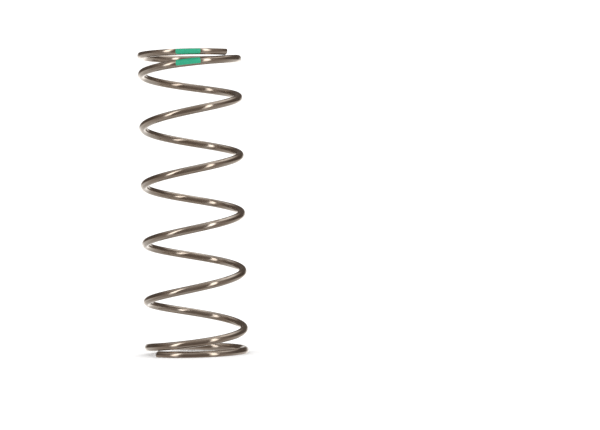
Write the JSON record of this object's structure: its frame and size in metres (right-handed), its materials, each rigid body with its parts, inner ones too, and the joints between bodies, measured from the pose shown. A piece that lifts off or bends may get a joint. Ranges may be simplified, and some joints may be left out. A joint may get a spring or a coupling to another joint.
{
  "type": "coil spring",
  "caption": "Helical compression spring in round steel wire, right-hand wound, with closed and ground ends and green paint marks on its top coils.",
  "frame": {"origin": "point where the coil axis meets the lower ground face", "axes": "+Z along the coil axis towards the painted end; -Y is the side the paint marks face"},
  "size_m": [0.031, 0.031, 0.09],
  "materials": {
    "spring_steel": "bright drawn wire with a warm grey-brown tint and fine lengthwise draw lines; ground faces matte",
    "rate_paint": "satin green paint mark"
  },
  "bodies": {
    "lower_end": {"lower_end_coil": "spring_steel", "active_coils": "spring_steel"},
    "upper_end": {"upper_end_coil": "spring_steel", "upper_rate_mark": "rate_paint", "lower_rate_mark": "rate_paint"}
  },
  "joints": [
    {"name": "compression", "type": "slide", "parent": "lower_end", "child": "upper_end", "axis": [0, 0, -1], "range_m": [0, 0.068], "stiffness_N_per_m": 2230, "deforming": ["active_coils"]}
  ]
}
